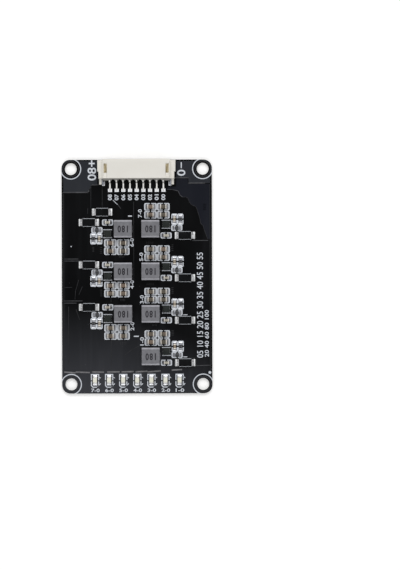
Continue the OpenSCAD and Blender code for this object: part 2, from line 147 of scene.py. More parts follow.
def finished(bm, name, finishes, sharp=40.0, stands_for=()):
    """Turns a shape in millimetres into a piece of the board."""
    bmesh.ops.recalc_face_normals(bm, faces=bm.faces)
    bmesh.ops.scale(bm, vec=(MM, MM, MM), verts=bm.verts)
    mesh = bpy.data.meshes.new(name)
    bm.to_mesh(mesh)
    bm.free()
    mesh.polygons.foreach_set("use_smooth", [True] * len(mesh.polygons))
    mesh.set_sharp_from_angle(angle=math.radians(sharp))
    for material in finishes:
        mesh.materials.append(material)
    piece = bpy.data.objects.new(name, mesh)
    bpy.context.scene.collection.objects.link(piece)
    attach(piece, "root")
    if stands_for:
        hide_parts(*stands_for)
    return piece


def copy_of(node):
    """A node's own shape in millimetres, its triangles merged into whole faces."""
    bm = bmesh.new()
    bm.from_mesh(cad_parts[node].data)
    for layer in list(bm.loops.layers.uv):
        bm.loops.layers.uv.remove(layer)
    bmesh.ops.scale(bm, vec=(1 / MM,) * 3, verts=bm.verts)
    bmesh.ops.remove_doubles(bm, verts=bm.verts, dist=0.0005)
    bmesh.ops.dissolve_limit(
        bm, angle_limit=math.radians(0.5), verts=bm.verts, edges=bm.edges, use_dissolve_boundaries=False
    )
    for face in bm.faces:
        face.material_index = 0
    return bm


def soften(bm, edge, angle=30.0, segments=2):
    """Rounds the edges that are sharper than the angle."""
    sharp = [
        e for e in bm.edges
        if e.is_manifold and e.calc_face_angle(0) > math.radians(angle)
    ]
    bmesh.ops.bevel(
        bm, geom=sharp, offset=edge, offset_type="OFFSET", segments=segments,
        profile=0.5, affect="EDGES", clamp_overlap=True, material=-1,
    )


# ---------------------------------------------------------------- finishes


def socket_in(group, name, default):
    socket = group.interface.new_socket(name=name, in_out="INPUT", socket_type="NodeSocketFloat")
    socket.default_value = default


def grain_group():
    """Fine grain: an even height for bumps, and a slow mottle from 0 to 1."""
    group = bpy.data.node_groups.new("fine_grain", "ShaderNodeTree")
    socket_in(group, "Grain size", 2000.0)
    socket_in(group, "Mottle size", 300.0)
    group.interface.new_socket(name="Height", in_out="OUTPUT", socket_type="NodeSocketFloat")
    group.interface.new_socket(name="Mottle", in_out="OUTPUT", socket_type="NodeSocketFloat")
    nodes, links = group.nodes, group.links
    given, out = nodes.new("NodeGroupInput"), nodes.new("NodeGroupOutput")
    where = nodes.new("ShaderNodeTexCoord")
    fine, slow = nodes.new("ShaderNodeTexNoise"), nodes.new("ShaderNodeTexNoise")
    fine.inputs["Detail"].default_value = 4.0
    slow.inputs["Detail"].default_value = 3.0
    spread = nodes.new("ShaderNodeMapRange")
    spread.inputs["From Min"].default_value = 0.3
    spread.inputs["From Max"].default_value = 0.7
    for noise, size in ((fine, "Grain size"), (slow, "Mottle size")):
        links.new(where.outputs["Object"], noise.inputs["Vector"])
        links.new(given.outputs[size], noise.inputs["Scale"])
    links.new(slow.outputs["Fac"], spread.inputs["Value"])
    links.new(fine.outputs["Fac"], out.inputs["Height"])
    links.new(spread.outputs["Result"], out.inputs["Mottle"])
    return group


def fleck_group():
    """Small round flecks scattered over a surface, 1 on a fleck and 0 between."""
    group = bpy.data.node_groups.new("scattered_flecks", "ShaderNodeTree")
    socket_in(group, "Fleck size", 3000.0)
    socket_in(group, "Spread", 0.12)
    group.interface.new_socket(name="Fleck", in_out="OUTPUT", socket_type="NodeSocketFloat")
    nodes, links = group.nodes, group.links
    given, out = nodes.new("NodeGroupInput"), nodes.new("NodeGroupOutput")
    where = nodes.new("ShaderNodeTexCoord")
    cells = nodes.new("ShaderNodeTexVoronoi")
    cut = nodes.new("ShaderNodeMath")
    cut.operation = "LESS_THAN"
    links.new(where.outputs["Object"], cells.inputs["Vector"])
    links.new(given.outputs["Fleck size"], cells.inputs["Scale"])
    links.new(cells.outputs["Distance"], cut.inputs[0])
    links.new(given.outputs["Spread"], cut.inputs[1])
    links.new(cut.outputs["Value"], out.inputs["Fleck"])
    return group


GRAIN = grain_group()
FLECKS = fleck_group()


class Finish:
    """A material under construction, with its shader and the helpers that wire it."""

    def __init__(self, name, colour, roughness=0.5, metallic=0.0, specular=0.5):
        self.material = bpy.data.materials.new(name)
        self.material.use_nodes = True
        self.nodes = self.material.node_tree.nodes
        self.links = self.material.node_tree.links
        self.shader = self.nodes["Principled BSDF"]
        self.colour = colour
        self.put("Base Color", (*colour, 1))
        self.put("Roughness", roughness)
        self.put("Metallic", metallic)
        self.put("Specular IOR Level", specular)

    def put(self, socket, value):
        self.shader.inputs[socket].default_value = value

    def wire(self, output, socket):
        self.links.new(output, self.shader.inputs[socket])

    def group(self, tree, **values):
        node = self.nodes.new("ShaderNodeGroup")
        node.node_tree = tree
        for name, value in values.items():
            node.inputs[name.replace("_", " ")].default_value = value
        return node

    def math(self, operation, a, b=None):
        node = self.nodes.new("ShaderNodeMath")
        node.operation = operation
        for i, value in enumerate((a, b)):
            if value is None:
                continue
            if isinstance(value, (int, float)):
                node.inputs[i].default_value = value
            else:
                self.links.new(value, node.inputs[i])
        return node.outputs["Value"]

    def spread(self, value, low, high, to_low=0.0, to_high=1.0):
        node = self.nodes.new("ShaderNodeMapRange")
        self.links.new(value, node.inputs["Value"])
        node.inputs["From Min"].default_value = low
        node.inputs["From Max"].default_value = high
        node.inputs["To Min"].default_value = to_low
        node.inputs["To Max"].default_value = to_high
        return node.outputs["Result"]

    def mix(self, factor, a, b):
        node = self.nodes.new("ShaderNodeMix")
        node.data_type = "RGBA"
        if isinstance(factor, (int, float)):
            node.inputs["Factor"].default_value = factor
        else:
            self.links.new(factor, node.inputs["Factor"])
        for i, value in ((6, a), (7, b)):
            if isinstance(value, tuple):
                node.inputs[i].default_value = (*value, 1)
            else:
                self.links.new(value, node.inputs[i])
        return node.outputs[2]

    def where(self):
        node = self.nodes.new("ShaderNodeTexCoord")
        apart = self.nodes.new("ShaderNodeSeparateXYZ")
        self.links.new(node.outputs["Object"], apart.inputs["Vector"])
        return node.outputs["Object"], apart.outputs

    def noise(self, scale, stretch=(1, 1, 1), detail=3.0):
        at, _ = self.where()
        mapping = self.nodes.new("ShaderNodeMapping")
        mapping.inputs["Scale"].default_value = stretch
        noise = self.nodes.new("ShaderNodeTexNoise")
        noise.inputs["Scale"].default_value = scale
        noise.inputs["Detail"].default_value = detail
        self.links.new(at, mapping.inputs["Vector"])
        self.links.new(mapping.outputs["Vector"], noise.inputs["Vector"])
        return noise.outputs["Fac"]

    def bump(self, height, strength, distance=0.00002):
        node = self.nodes.new("ShaderNodeBump")
        node.inputs["Strength"].default_value = strength
        node.inputs["Distance"].default_value = distance
        self.links.new(height, node.inputs["Height"])
        self.wire(node.outputs["Normal"], "Normal")

    def mottled(
        self, other, grain_size, mottle_size, bump, rough_low, rough_high, distance=0.00002
    ):
        """Colour that drifts to another, with fine grain in its bump and roughness."""
        grain = self.group(GRAIN, Grain_size=grain_size, Mottle_size=mottle_size)
        self.wire(self.mix(grain.outputs["Mottle"], self.colour, other), "Base Color")
        self.wire(self.spread(grain.outputs["Height"], 0.3, 0.7, rough_low, rough_high), "Roughness")
        self.bump(grain.outputs["Height"], bump, distance)
        return grain


def solder_mask(name, tone, clouds=1.0):
    """Black lacquer with a painted reflection that greys it towards the lights' end, with the bare laminate on the
    cut sides.
    """
    finish = Finish(name, tone, roughness=0.36, specular=0.035)
    _, axes = finish.where()
    # painted reflection: the lacquer greys slowly towards the lights' end, on the left side first, in place of the
    # lamps' broad glossy sheen
    right = finish.math("MAXIMUM", finish.math("ADD", axes["X"], 0.006), 0.0)
    down = finish.math("ADD", axes["Y"], finish.math("MULTIPLY", right, 0.5))
    lower = finish.math("POWER", finish.spread(down, -0.0070, -0.0330), 1.15)
    painted_reflection = finish.mix(lower, tone, (0.041, 0.043, 0.050))
    # slow cloudiness and fine lengthwise streaks from the coating, laid on most strongly where the painted
    # reflection lies
    cloud = finish.spread(finish.noise(75.0, (1.0, 0.5, 1.0), 5.0), 0.38, 0.72)
    streaks = finish.spread(finish.noise(420.0, (1.0, 0.06, 1.0), 2.0), 0.5, 0.8)
    veil_and_reflection = finish.math("MULTIPLY", finish.math("ADD", cloud, streaks), 0.14 * clouds)
    veil_and_reflection = finish.math("MULTIPLY", veil_and_reflection, finish.math("ADD", lower, 0.35))
    coat_and_reflection = finish.mix(veil_and_reflection, painted_reflection, (0.070, 0.073, 0.082))
    # dust specks
    flecks = finish.group(FLECKS, Fleck_size=330.0, Spread=0.035)
    dust_and_reflection = finish.mix(finish.math("MULTIPLY", flecks.outputs["Fleck"], 0.25), coat_and_reflection, (0.14, 0.14, 0.15))
    # sawn laminate between the two coats
    inside = finish.math(
        "MULTIPLY",
        finish.math("GREATER_THAN", axes["Z"], 0.00004),
        finish.math("LESS_THAN", axes["Z"], 0.00096),
    )
    layers = finish.spread(finish.noise(900.0, (0.3, 0.3, 14.0), 2.0), 0.35, 0.65)
    laminate = finish.mix(layers, (0.035, 0.032, 0.022), (0.075, 0.068, 0.045))
    finish.wire(finish.mix(inside, dust_and_reflection, laminate), "Base Color")
    fine = finish.group(GRAIN, Grain_size=1500.0, Mottle_size=120.0)
    gloss = finish.spread(fine.outputs["Mottle"], 0.0, 1.0, 0.30, 0.42)
    finish.wire(finish.math("MAXIMUM", gloss, finish.math("MULTIPLY", inside, 0.75)), "Roughness")
    finish.bump(fine.outputs["Height"], 0.12, 0.00001)
    return finish.material


def printed_ink():
    finish = Finish("printed_ink", (0.70, 0.735, 0.79), roughness=0.55)
    finish.mottled((0.60, 0.63, 0.69), 2600.0, 900.0, 0.25, 0.5, 0.68)
    return finish.material


def bright_tin(name, colour, other, low, high):
    """Solder and tin plating: bright, slightly uneven metal."""
    finish = Finish(name, colour, metallic=1.0)
    finish.mottled(other, 1500.0, 700.0, 0.25, low, high)
    return finish.material


def ivory_nylon(name, colour, other):
    finish = Finish(name, colour, roughness=0.45, specular=0.4)
    finish.mottled(other, 900.0, 140.0, 0.18, 0.42, 0.55)
    return finish.material


def powder_block(name, level):
    """Pressed iron powder: grey, with darker and lighter grains."""
    finish = Finish(name, (0.2 * level, 0.2 * level, 0.217 * level), roughness=0.6, specular=0.2)
    grain = finish.group(GRAIN, Grain_size=2300.0, Mottle_size=1100.0)
    flecks = finish.group(FLECKS, Fleck_size=2400.0, Spread=0.2)
    light, dark = [
        tuple(c * level for c in tone) for tone in ((0.218, 0.218, 0.236), (0.168, 0.168, 0.184))
    ]
    tint = finish.mix(grain.outputs["Mottle"], light, dark)
    flecked = finish.math("MULTIPLY", flecks.outputs["Fleck"], 0.3)
    finish.wire(finish.mix(flecked, tint, (0.10, 0.10, 0.11)), "Base Color")
    finish.wire(finish.spread(grain.outputs["Height"], 0.3, 0.7, 0.52, 0.7), "Roughness")
    finish.bump(grain.outputs["Height"], 0.5, 0.00003)
    return finish.material


def fired_ceramic(name, light, dark):
    """Fired ceramic whose tone differs from one part to the next."""
    finish = Finish(name, light, specular=0.35)
    tone = finish.spread(finish.noise(310.0, (1, 1, 0.2), 0.0), 0.36, 0.64)
    grain = finish.group(GRAIN, Grain_size=1900.0, Mottle_size=900.0)
    blend = finish.math(
        "ADD", finish.math("MULTIPLY", tone, 0.8), finish.math("MULTIPLY", grain.outputs["Mottle"], 0.2)
    )
    finish.wire(finish.mix(blend, light, dark), "Base Color")
    finish.wire(finish.spread(grain.outputs["Height"], 0.3, 0.7, 0.34, 0.5), "Roughness")
    finish.bump(grain.outputs["Height"], 0.2)
    return finish.material


def plain_finish(
    name, colour, other, low, high, grain=1800.0, mottle=500.0, bump=0.2, specular=0.5
):
    finish = Finish(name, colour, specular=specular)
    finish.mottled(other, grain, mottle, bump, low, high)
    return finish.material


MASK = solder_mask("solder_mask", (0.0011, 0.0012, 0.0015))
MASK_PALE = solder_mask("solder_mask_over_copper", (0.0260, 0.0285, 0.0345), 2.0)
MASK_NAVY = solder_mask("solder_mask_over_dark_copper", (0.0100, 0.0112, 0.0170), 1.5)
# lighter lacquers for the ridges, standing in for painted highlights on the edges of the foil and on the bars; the
# darkest also prints the faint marks, and the edge one the coating's scratch
MASK_EDGE_HIGHLIGHT_AND_SCRATCH = plain_finish(
    "solder_mask_edge_highlight_and_scratch", (0.075, 0.076, 0.083), (0.040, 0.041, 0.046),
    0.35, 0.5, 1500.0, 900.0, specular=0.2,
)
MASK_BAR_HIGHLIGHT = plain_finish(
    "solder_mask_painted_bar_highlight", (0.20, 0.195, 0.205), (0.11, 0.108, 0.115), 0.4, 0.6, 1500.0, 1200.0,
)
MASK_TRACE_HIGHLIGHT_AND_PRINT = plain_finish(
    "solder_mask_trace_highlight_and_faint_print", (0.024, 0.025, 0.028), (0.015, 0.016, 0.018),
    0.35, 0.5, 1500.0, 900.0, specular=0.2,
)
INK = printed_ink()
SOLDER = bright_tin("soldered_joint", (0.80, 0.81, 0.84), (0.66, 0.67, 0.70), 0.28, 0.42)
TIN = bright_tin("tin_plate", (0.84, 0.83, 0.81), (0.72, 0.71, 0.69), 0.30, 0.45)
CAP_END = bright_tin("capacitor_end", (0.80, 0.76, 0.70), (0.68, 0.64, 0.58), 0.38, 0.52)
DULL_SOLDER = bright_tin("dull_fillet", (0.52, 0.53, 0.56), (0.40, 0.41, 0.44), 0.34, 0.48)
# darker plating on the fuse ends, a painted shade of their half-round notches
FUSE_END_PAINTED_SHADE = bright_tin("fuse_end_painted_shade", (0.40, 0.40, 0.41), (0.30, 0.30, 0.31), 0.38, 0.5)
RESISTOR_END = bright_tin("resistor_end", (0.42, 0.43, 0.48), (0.30, 0.31, 0.35), 0.34, 0.46)
BRIGHT_SOLDER = bright_tin("bright_solder", (0.84, 0.85, 0.86), (0.74, 0.75, 0.76), 0.28, 0.42)
NYLON = ivory_nylon("ivory_nylon", (0.83, 0.81, 0.755), (0.80, 0.775, 0.715))
# a darker copy of the nylon, for the painted shade on the ledge under the roof
NYLON_LEDGE_PAINTED_SHADE = ivory_nylon("ivory_nylon_ledge_painted_shade", (0.35, 0.342, 0.32), (0.28, 0.276, 0.258))
# a tan, darker copy of the nylon, for the painted shade inside the windows
NYLON_WINDOW_PAINTED_SHADE = ivory_nylon("ivory_nylon_window_painted_shade", (0.74, 0.65, 0.44), (0.66, 0.57, 0.37))
POWDER = powder_block("powder_block", 1.0)
# a lighter copy of the powder, for the painted highlight on the inductors' chamfers
POWDER_CHAMFER_HIGHLIGHT = powder_block("powder_block_painted_chamfer_highlight", 2.6)
MARK = plain_finish(
    "marking_grey", (0.022, 0.021, 0.026), (0.040, 0.038, 0.045), 0.55, 0.7, specular=0.2,
)
EPOXY = plain_finish(
    "package_epoxy", (0.017, 0.020, 0.019), (0.025, 0.029, 0.027), 0.42, 0.58, specular=0.1,
)
CERAMIC_BROWN = fired_ceramic("ceramic_brown", (0.185, 0.130, 0.095), (0.072, 0.064, 0.046))
CERAMIC_TAN = fired_ceramic("ceramic_tan", (0.36, 0.33, 0.28), (0.26, 0.20, 0.14))
CERAMIC_CREAM = fired_ceramic("ceramic_cream", (0.43, 0.42, 0.35), (0.33, 0.30, 0.255))
RESISTOR_BLACK = plain_finish(
    "resistor_glaze", (0.030, 0.032, 0.038), (0.046, 0.048, 0.055), 0.25, 0.4, specular=0.3,
)
RESISTOR_WHITE = plain_finish("resistor_alumina", (0.62, 0.62, 0.60), (0.54, 0.54, 0.52), 0.5, 0.65)
FUSE_BLACK = plain_finish(
    "fuse_coating", (0.0025, 0.0028, 0.0032), (0.006, 0.007, 0.008), 0.3, 0.45, specular=0.05,
)
LED_WHITE = plain_finish("light_base", (0.74, 0.75, 0.72), (0.66, 0.67, 0.64), 0.45, 0.6)
LED_LENS = plain_finish("light_lens", (0.86, 0.86, 0.76), (0.80, 0.79, 0.66), 0.12, 0.2, bump=0.08)

# ---------------------------------------------------------------- board


def dress_board():
    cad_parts["pcb"].data.materials.clear()
    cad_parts["pcb"].data.materials.append(MASK)
    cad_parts["silkscreen"].data.materials.clear()
    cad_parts["silkscreen"].data.materials.append(INK)


def ring_points(x, y, r, count=48):
    return [
        (x + r * math.cos(2 * math.pi * i / count), y + r * math.sin(2 * math.pi * i / count))
        for i in range(count)
    ]


def flat_curve(outlines, height, slope):
    """Flat curve of an area with its cut-outs, with sloping edges."""
    curve = bpy.data.curves.new("area", "CURVE")
    curve.dimensions = "2D"
    curve.fill_mode = "BOTH"
    curve.extrude = height / 2 - slope
    curve.bevel_depth = slope
    curve.offset = -slope
    for points in outlines:
        spline = curve.splines.new("POLY")
        spline.points.add(len(points) - 1)
        for point, (x, y) in zip(spline.points, points):
            point.co = (x, y, 0, 1)
        spline.use_cyclic_u = True
    return curve


def mesh_of(data):
    """The mesh of a text or a flat curve, before it is put in its place."""
    helper = bpy.data.objects.new("helper", data)
    bpy.context.scene.collection.objects.link(helper)
    bpy.context.view_layer.update()
    shape = bpy.data.meshes.new_from_object(helper.evaluated_get(bpy.context.evaluated_depsgraph_get()))
    bpy.data.objects.remove(helper)
    return shape


def lay(bm, mesh, matrix, finish=0):
    """Puts a shape in its place in one finish."""
    before = len(bm.faces)
    stamp(bm, mesh, matrix)
    bm.faces.ensure_lookup_table()
    for face in bm.faces[before:]:
        face.material_index = finish


def strip(bm, points, width, bottom, top, finish=0):
    """Flat line through the points."""
    for (x0, y0), (x1, y1) in zip(points, points[1:]):
        length = math.hypot(x1 - x0, y1 - y0) + width * 0.6
        turn = math.degrees(math.atan2(y1 - y0, x1 - x0))
        edge = min(0.012, (top - bottom) / 3)
        mesh = template(block, (length, width, top - bottom), (0, 0, 0), edge, finish, 1)
        stamp(bm, mesh, place((x0 + x1) / 2, (y0 + y1) / 2, (bottom + top) / 2, turn))


# Heights of the lacquer over the copper, above the board's surface
FOIL = 0.014
EDGE = 0.022
COAST = [
    (9.1, 26.1), (10.6, 26.05), (12.4, 25.6), (13.0, 24.3), (13.7, 23.8), (14.7, 23.8),
    (15.3, 23.4), (15.7, 22.4), (16.3, 21.5), (17.7, 20.9), (18.2, 19.6), (18.9, 17.2),
    (19.1, 15.9), (19.8, 15.2), (20.2, 13.9), (21.2, 11.2),
]


def copper_areas():
    """The lacquer's zones over the foil: paler by the corners, bluish along the right side."""
    bm = bmesh.new()
    left = [
        (-22.0, 25.25), (-14.7, 25.25), (-13.5, 27.4), (-11.8, 27.4), (-11.8, 34.6), (-20.6, 34.6),
        (-21.6, 33.9), (-22.0, 32.6),
    ]
    right = [
        (11.8, 29.55), (15.4, 29.55), (15.6, 27.95), (22.0, 27.95), (22.0, 32.6), (21.6, 33.9),
        (20.6, 34.6), (11.8, 34.6),
    ]
    coast = [
        *COAST, (22.0, 11.2), (22.0, 27.7), (15.4, 27.7), (15.2, 29.3), (11.8, 29.3), (11.8, 26.9),
        (9.4, 26.9),
    ]
    for outline, hole_x, finish in ((left, -HOLE_X, 0), (right, HOLE_X, 0), (coast, None, 1)):
        outlines = [outline]
        if hole_x is not None:
            outlines.append(ring_points(hole_x, HOLE_Y, 2.75))
        shape = mesh_of(flat_curve(outlines, FOIL, 0.004))
        lay(bm, shape, place(0, 0, BOARD_TOP + FOIL / 2), finish)
    finished(bm, "lacquer_zones", [MASK_PALE, MASK_NAVY], 60)


def copper_edges():
    """Ridges where the lacquer climbs the edges of the foil, and the rims round the mounting holes, coloured with
    lighter lacquer as painted highlights.
    """
    bm = bmesh.new()
    low, high = BOARD_TOP, BOARD_TOP + EDGE
    # painted highlights: the ridges along x take the pale edge lacquer, the steeper and upright ones a darker one
    for points in (
        [(-22.0, 25.25), (-14.6, 25.25)], [(-14.7, 25.35), (-14.3, 25.7)],
        [(11.2, 29.55), (15.5, 29.55)], [(15.5, 27.95), (20.4, 27.95)],
    ):
        strip(bm, points, 0.34, low, high, 0)
    for points in (
        [(-13.3, 27.45), (-11.3, 27.5)], COAST[:5],
        [(-22.0, 5.30), (-17.6, 5.30)], [(-22.0, 4.70), (-16.2, 4.70)],
        [(-22.0, -7.25), (-16.4, -7.25)], [(-22.0, -7.90), (-18.2, -7.90)],
        [(16.6, 10.75), (21.3, 10.75)], [(12.8, -26.6), (17.0, -26.75), (22.0, -26.6)],
    ):
        strip(bm, points, 0.20, low, high, 0)
    for points in (
        COAST[4:12], COAST[11:], [(-14.7, 25.4), (-13.5, 27.4)], [(-13.75, 27.2), (-13.75, 20.6)],
        [(-10.35, 27.2), (-10.35, 20.8)], [(-14.7, 20.4), (-14.7, 18.9)],
        [(-0.95, 22.4), (-0.95, -2.0)], [(-7.8, -5.6), (-7.8, -7.6)], [(-7.8, -19.2), (-7.8, -27.6)],
        [(-21.9, 24.8), (-21.9, 5.6)], [(-21.9, 4.4), (-21.9, -7.0)], [(-21.9, -8.2), (-21.9, -28.2)],
        [(21.9, 27.6), (21.9, -28.0)], [(-22.0, -3.2), (-19.5, -3.2)], [(-20.5, -9.0), (-20.5, -26.0)],
        [(14.4, -24.3), (17.4, -24.3)],
        [(-17.5, -1.0), (-18.4, -4.2), (-18.6, -6.8)], [(-16.4, -3.0), (-17.4, -5.4)],
        [(-18.3, -9.8), (-17.2, -12.9)], [(-3.9, -23.6), (-1.5, -21.9), (1.0, -20.6)],
    ):
        strip(bm, points, 0.15, low, high - 0.004, 1)
    # the broken bars take the light grey lacquer, a painted highlight
    for start, end in (
        (-21.8, -18.6), (-18.3, -14.3), (-13.4, -10.1), (-8.9, -5.4), (-4.6, -1.2), (-0.4, 2.9), (3.2, 6.9),
    ):
        strip(bm, [(start, -28.55), (end, -28.35 + 0.02 * start)], 0.42, low, high, 2)
    strip(bm, [(10.4, -28.05), (13.3, -27.9)], 0.42, low, high, 2)
    strip(bm, [(-21.9, -28.05), (6.9, -27.85)], 0.10, low, high - 0.006, 1)
    for x in (-HOLE_X, HOLE_X):
        for y in (-HOLE_Y, HOLE_Y):
            rim = mesh_of(flat_curve([ring_points(x, y, 2.42), ring_points(x, y, 2.20)], EDGE, 0.005))
            lay(bm, rim, place(0, 0, BOARD_TOP + EDGE / 2), 1)
    # faint second prints beside the blocks of capacitors
    for x, y, wide, high_y in (
        (-10.75, -4.9, 0.6, 2.3), (10.6, -4.2, 0.6, 2.2), (10.6, -16.9, 0.7, 1.8), (-10.75, 7.9, 0.6, 2.3),
        (10.6, 8.6, 0.6, 2.2), (-4.3, -7.0, 1.6, 0.7), (-4.2, -20.0, 2.2, 0.9), (-13.1, 8.2, 0.5, 1.5),
        (20.3, 20.8, 0.9, 2.0), (3.9, 10.2, 2.4, 0.6), (3.9, -2.2, 2.4, 0.6), (-4.6, 5.9, 1.8, 0.6),
        (5.2, -14.4, 1.6, 0.8),
    ):
        for i in range(4):
            if wide < high_y:
                across = y + (i - 1.5) * high_y / 4
                points = [(x - wide / 2, across), (x + wide / 2, across)]
            else:
                across = x + (i - 1.5) * wide / 4
                points = [(across, y - high_y / 2), (across, y + high_y / 2)]
            strip(bm, points, 0.16, low, high - 0.008, 1)
    finished(bm, "lacquer_ridges_painted_highlights", [MASK_EDGE_HIGHLIGHT_AND_SCRATCH, MASK_TRACE_HIGHLIGHT_AND_PRINT, MASK_BAR_HIGHLIGHT], 60)


def figures(body, size, thicken=0.0, spacing=1.0):
    """Mesh of a row of plain figures, centred and one unit deep."""
    text = bpy.data.curves.new("figures", "FONT")
    text.body = body
    text.size = size
    text.align_x = "CENTER"
    text.align_y = "CENTER"
    text.offset = thicken
    text.space_character = spacing
    text.resolution_u = 3
    text.extrude = 0.5
    return mesh_of(text)


def fitted(bm, body, x, y, length, height, turn, thicken, z_low, z_high, finish=0, spacing=1.0):
    """Row of figures stretched to its length and height, printed flat."""
    mesh = figures(body, 1.0, thicken, spacing)
    xs = [v.co.x for v in mesh.vertices]
    ys = [v.co.y for v in mesh.vertices]
    middle = Matrix.Translation((-(min(xs) + max(xs)) / 2, -(min(ys) + max(ys)) / 2, 0))
    scale = Matrix.Diagonal((length / (max(xs) - min(xs)), height / (max(ys) - min(ys)), z_high - z_low, 1))
    lay(bm, mesh, place(x, y, (z_low + z_high) / 2, turn) @ scale @ middle, finish)


def printed_figures():
    """Plain numbers by the parts, a number scale along the right side, and small marks."""
    bm = bmesh.new()
    low, high = BOARD_TOP, INK_TOP

    def row(body, x, y, length, height, turn=90, thicken=0.02):
        fitted(bm, body, x, y, length, height, turn, thicken, low, high)

    for i in range(9):
        row(f"{8 - i}0"[::-1], (i - 4) * PIN_PITCH - 0.05, 23.75, 1.78, 1.2, 90, 0.03)
    row("08+", -13.42, 31.85, 6.1, 2.6, 90, 0.015)
    row("0", 13.36, 31.05, 1.85, 2.5, 90, 0.015)
    strip(bm, [(13.36, 32.5), (13.36, 34.1)], 0.34, low, high)
    for n, x, y in (
        (1, 1.45, -19.4), (2, -1.45, -14.9), (3, 1.45, -6.85), (4, -1.5, -2.4), (5, 1.3, 5.9),
        (6, -1.5, 10.2), (7, 0.95, 18.9),
    ):
        row(f"{n}-0", x, y, 2.5, 1.15)
        at = centre_mm(f"status_led_{n}")
        row(f"{8 - n}-0", at.x + 0.1, -34.05, 2.55, 1.05, 0)
        # arrow mark beside the light, and the peak in its bracket's foot
        strip(bm, [(at.x + 0.62, -33.15), (at.x + 1.62, -32.05)], 0.24, low, high)
        strip(bm, [(at.x + 1.16, -30.0), (at.x + 1.62, -30.35)], 0.24, low, high)
    row("05 10 15 20 25 30 35 40 45 50 55", 18.85, -8.6, 31.5, 1.85, 90, 0.005)
    row("20 40 60 80 100", 20.85, -17.1, 14.0, 1.25, 90, 0.012)
    for points, width in (
        ([(-2.5, 18.1), (-1.6, 18.1)], 0.42), ([(-0.9, -17.9), (0.4, -17.9)], 0.34),
        ([(13.9, -24.1), (14.9, -24.1)], 0.28), ([(13.9, -11.5), (15.0, -11.5)], 0.26),
        ([(-7.1, 22.9), (-5.8, 21.6)], 0.16),
    ):
        strip(bm, points, width, low, high)
    dot = mesh_of(flat_curve([ring_points(-19.7, 9.05, 0.18, 20)], high - low, 0.008))
    lay(bm, dot, place(0, 0, (low + high) / 2))
    finished(bm, "printed_figures", [INK], 50)
    bm = bmesh.new()
    strip(bm, [(-7.2, 23.0), (-5.9, 21.8), (-4.8, 20.4)], 0.16, low, low + 0.02)
    finished(bm, "coating_scratch", [MASK_EDGE_HIGHLIGHT_AND_SCRATCH], 50)


dress_board()
copper_areas()
copper_edges()
printed_figures()

# ---------------------------------------------------------------- solder


def joint(bm, under, out, width, rise, domed=False):
    """Land with its fillet: the terminal's end stands at x = 0, and the solder runs out along x."""
    thick = LAND_TOP - BOARD_TOP
    length = under + out
    made = bmesh.ops.create_cube(
        bm, size=1,
        matrix=Matrix.Translation((length / 2 - under, 0, -thick / 2)) @ Matrix.Diagonal((length, width, thick, 1)),
    )
    along = [e for e in bm.edges if abs(e.verts[0].co.x - e.verts[1].co.x) > length / 2]
    bmesh.ops.subdivide_edges(bm, edges=along, cuts=7, use_grid_fill=True)
    across = [e for e in bm.edges if abs(e.verts[0].co.y - e.verts[1].co.y) > width / 2]
    bmesh.ops.subdivide_edges(bm, edges=across, cuts=3, use_grid_fill=True)
    for v in bm.verts:
        if v.co.z > -thick / 2:
            run = min(max(v.co.x / out, 0.0), 1.0)
            side = abs(2 * v.co.y / width)
            if v.co.x >= -0.02:
                v.co.z += rise * (1 - run ** 4 if domed else (1 - run) ** 2.0) * (1 - 0.25 * side ** 2)
            v.co.z -= 0.6 * thick * (run > 0.99 or side > 0.99)
        reach = min(max(v.co.x / out, 0.0), 1.0)
        v.co.y *= 1 - 0.10 * reach ** 3
    for face in bm.faces:
        at = face.calc_center_median()
        if domed:
            face.material_index = 2
        elif rise > 0.25 and at.x < 0.5 * out and at.z > -0.02:
            face.material_index = 1


def solder_joints():
    """All soldered ends, one joint at each."""
    bm = bmesh.new()
    cap = template(joint, 0.35, 0.57, 1.58, 0.4)
    small = template(joint, 0.35, 0.56, 1.05, 0.36)
    flat = template(joint, 0.25, 0.56, 1.05, 0.30)
    lead = template(joint, 0.25, 0.10, 0.28, 0.10)
    clip = template(joint, 1.0, 0.15, 2.4, 0.15)
    fuse = template(joint, 0.5, 0.65, 2.1, 0.2, True)
    light = template(joint, 0.3, 0.55, 1.25, 0.22)

    def pair(shape, spot, length):
        for turn in (0, 180):
            stamp(bm, shape, spot @ place(0, 0, 0, turn) @ Matrix.Translation((length / 2, 0, 0)))

    for n in CHANNELS:
        for spot in filter_spots(n, CAP_L, CAP_W):
            pair(cap, spot, CAP_L)
        for upper in (True, False):
            for shape, node in ((small, f"small_capacitors_{n}"), (flat, f"resistors_{n}")):
                pair(shape, corner_spot(node, n, SMALL_L, SMALL_W, upper), SMALL_L)
        middle = centre_mm(f"balancer_ic_{n}")
        for i in range(4):
            pair(lead, place(middle.x, middle.y + (i - 1.5) * LEAD_PITCH, LAND_TOP), PACKAGE_L)
        middle = centre_mm(f"inductor_{n}")
        pair(clip, place(middle.x, middle.y, LAND_TOP), INDUCTOR_W)
        middle = centre_mm(f"status_led_{n}")
        pair(light, place(middle.x, middle.y, LAND_TOP, 90), LIGHT_L)
    for n in FUSES:
        middle = centre_mm(f"line_fuse_{n}")
        pair(fuse, place(middle.x, middle.y, LAND_TOP), FUSE_L)
    finished(bm, "soldered_joints", [SOLDER, DULL_SOLDER, BRIGHT_SOLDER], 50, ["component_solder"])


solder_joints()

# ---------------------------------------------------------------- chips


def chip(bm, length, width, height, band, edge):
    """Chip on its lands: the body is finish 0 and the plated ends are finish 1."""
    block(bm, (length - band, width - 0.08, height - 0.08), (0, 0, height / 2), edge)
    for side in (-1, 1):
        block(bm, (band, width, height), (side * (length - band) / 2, 0, height / 2), edge + 0.05, 1, 3)


